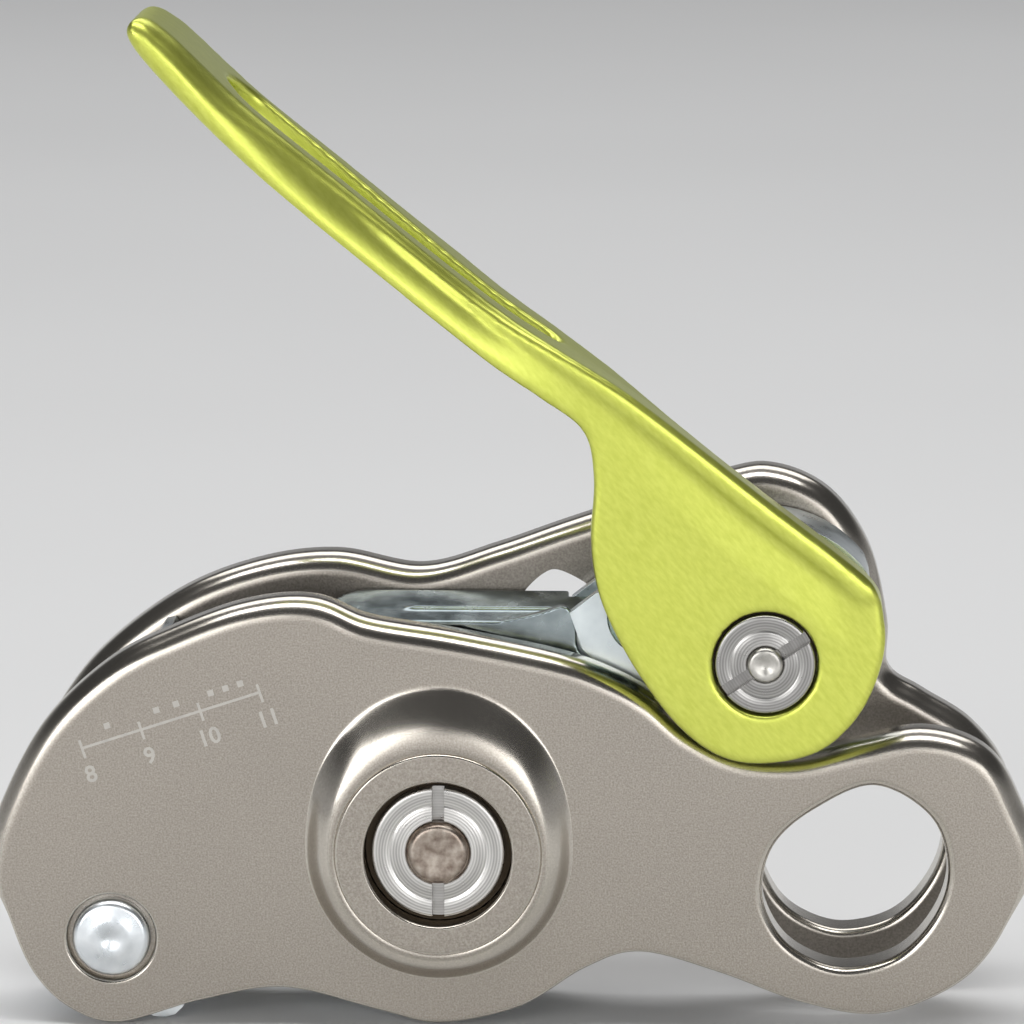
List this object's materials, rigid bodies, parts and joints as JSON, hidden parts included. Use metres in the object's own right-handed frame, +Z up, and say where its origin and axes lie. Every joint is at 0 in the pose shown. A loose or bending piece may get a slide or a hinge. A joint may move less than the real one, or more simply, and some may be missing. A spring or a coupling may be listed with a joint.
{
  "type": "assisted braking belay device",
  "caption": "Belay device with two side plates, an eccentric rope cam and a folding lime release handle.",
  "frame": {"origin": "centre of the main axle's front end face", "axes": "+X towards the carabiner eye, +Y from the front plate to the back plate, +Z up"},
  "size_m": [0.1107, 0.0247, 0.1073],
  "materials": {
    "plate": "bead blasted satin",
    "zinc": "bright zinc plate",
    "steel": "turned",
    "bronze": "sintered",
    "lime": "satin anodised"
  },
  "bodies": {
    "frame": {"front_plate": "plate", "hub_bush": "bronze", "main_axle": "steel", "main_nut": "steel", "brake_pad": "zinc", "pad_rivet": "zinc", "pad_dowel": "steel", "cam_stop_pin": "steel", "cam_washer_front": "steel", "cam_washer_back": "steel", "cam_spring": "steel"},
    "side_plate": {"back_plate": "plate", "back_bush": "bronze", "back_washer": "steel"},
    "cam_unit": {"cam": "steel", "cam_bush": "bronze", "cam_bracket": "zinc", "bracket_rivet_lower": "steel", "bracket_rivet_upper": "steel", "rope_leaf": "zinc", "drive_stud": "zinc", "handle_axle": "steel", "handle_nut": "steel", "handle_collar": "steel"},
    "lever": {"handle": "lime", "handle_bush": "bronze"}
  },
  "joints": [
    {"name": "cam_turn", "type": "hinge", "parent": "frame", "child": "cam_unit", "pos_m": [0, 0.0108, 0], "axis": [0, -1, 0], "range_deg": [0, 16], "stiffness_Nm_per_rad": 0.05, "springref_deg": -28.65},
    {"name": "handle_turn", "type": "hinge", "parent": "cam_unit", "child": "lever", "pos_m": [0.0342, 0, 0.021], "axis": [0, -1, 0], "range_deg": [0, 34]},
    {"name": "side_plate_turn", "type": "hinge", "parent": "frame", "child": "side_plate", "pos_m": [0, 0.0186, 0], "axis": [0, -1, 0], "range_deg": [-115, 0]}
  ]
}
